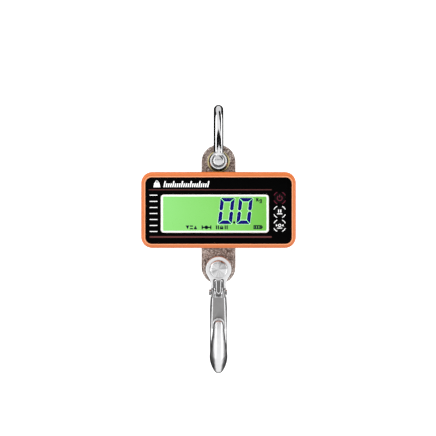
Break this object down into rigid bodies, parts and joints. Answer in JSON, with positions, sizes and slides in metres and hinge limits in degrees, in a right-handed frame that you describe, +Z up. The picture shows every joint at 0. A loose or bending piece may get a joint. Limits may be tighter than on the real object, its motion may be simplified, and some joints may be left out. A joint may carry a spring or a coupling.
{
  "type": "crane scale",
  "caption": "Hanging crane scale: a shackle and a latched clevis hook on a strain-gauged plate that carries a display case with keys.",
  "frame": {"origin": "inside of the shackle's crown, where the scale hangs", "axes": "+Z up the load line, -Y out of the display, +X to the right as the display is read"},
  "size_m": [0.145, 0.0606, 0.2598],
  "materials": {
    "chrome": "polished",
    "satin_steel": "satin",
    "spring_steel": "bright drawn wire",
    "cast_plate": "speckled blasted casting",
    "brass": "turned",
    "orange_plastic": "glossy moulded",
    "black_face": "glossy printed sheet",
    "key_black": "satin",
    "pale_trim": "smooth moulded",
    "clear_window": "clear",
    "lcd_green": "backlit liquid crystal panel",
    "light_guide": "frosted",
    "board_green": "solder mask",
    "chip_black": "moulded",
    "rubber": "matt",
    "potting": "cast",
    "gauge_foil": "thin foil",
    "cell_wrap": "shrink sleeve",
    "nickel": "plated strip",
    "lead": "flexible sleeve"
  },
  "bodies": {
    "shackle": {"shackle_bow": "chrome", "shackle_pin": "satin_steel", "shackle_pin_nut": "satin_steel", "shackle_pin_cotter": "spring_steel"},
    "scale_body": {"load_plate": "cast_plate", "upper_bush_front": "brass", "upper_bush_rear": "brass", "lower_bush": "brass", "strain_gauge_front": "gauge_foil", "strain_gauge_rear": "gauge_foil", "gauge_potting_front": "potting", "gauge_potting_rear": "potting", "front_shell": "orange_plastic", "rear_shell": "orange_plastic", "case_gasket": "rubber", "top_seal": "rubber", "bottom_seal": "rubber", "case_screw_1": "satin_steel", "case_screw_2": "satin_steel", "case_screw_3": "satin_steel", "case_screw_4": "satin_steel", "plate_screw_1": "satin_steel", "plate_screw_2": "satin_steel", "front_overlay": "black_face", "lcd_frame": "pale_trim", "lcd_window": "clear_window", "lcd_panel": "lcd_green", "lcd_backlight": "light_guide", "power_switch": "chip_black", "hold_switch": "chip_black", "tare_switch": "chip_black", "main_board": "board_green", "board_screw_1": "satin_steel", "board_screw_2": "satin_steel", "board_screw_3": "satin_steel", "board_screw_4": "satin_steel", "controller_chip": "chip_black", "converter_chip": "chip_black", "gauge_cable": "lead", "battery_tray": "chip_black", "battery_cell_1": "cell_wrap", "battery_cell_2": "cell_wrap", "battery_cell_3": "cell_wrap", "battery_contact_top": "nickel", "battery_contact_bottom": "nickel", "battery_lead": "lead"},
    "hook": {"hook_body": "satin_steel", "hook_pin": "satin_steel", "hook_pin_washer": "satin_steel", "hook_pin_cotter": "spring_steel", "latch_rivet": "satin_steel", "latch_spring": "spring_steel"},
    "latch": {"latch": "satin_steel"},
    "power_key": {"power_button": "key_black"},
    "hold_key": {"hold_button": "key_black"},
    "tare_key": {"tare_button": "key_black"},
    "battery_cover": {"battery_door": "orange_plastic"}
  },
  "joints": [
    {"name": "shackle_swing", "type": "hinge", "parent": "shackle", "child": "scale_body", "pos_m": [0, 0, -0.0461], "axis": [0, 1, 0], "range_deg": [-90, 90]},
    {"name": "hook_swing", "type": "hinge", "parent": "scale_body", "child": "hook", "pos_m": [0, 0, -0.1486], "axis": [0, 1, 0], "range_deg": [-90, 90]},
    {"name": "latch_swing", "type": "hinge", "parent": "hook", "child": "latch", "pos_m": [0, -0.0105, -0.1709], "axis": [1, 0, 0], "range_deg": [0, 30], "stiffness_Nm_per_rad": 0.05, "springref_deg": -28.65, "deforming": ["latch_spring"]},
    {"name": "power_press", "type": "slide", "parent": "scale_body", "child": "power_key", "axis": [0, 1, 0], "range_m": [0, 0.0005], "stiffness_N_per_m": 800, "springref_m": -0.0005},
    {"name": "hold_press", "type": "slide", "parent": "scale_body", "child": "hold_key", "axis": [0, 1, 0], "range_m": [0, 0.0005], "stiffness_N_per_m": 800, "springref_m": -0.0005},
    {"name": "tare_press", "type": "slide", "parent": "scale_body", "child": "tare_key", "axis": [0, 1, 0], "range_m": [0, 0.0005], "stiffness_N_per_m": 800, "springref_m": -0.0005},
    {"name": "battery_door_pull", "type": "slide", "parent": "scale_body", "child": "battery_cover", "axis": [0, 1, 0], "range_m": [0, 0.03]}
  ]
}
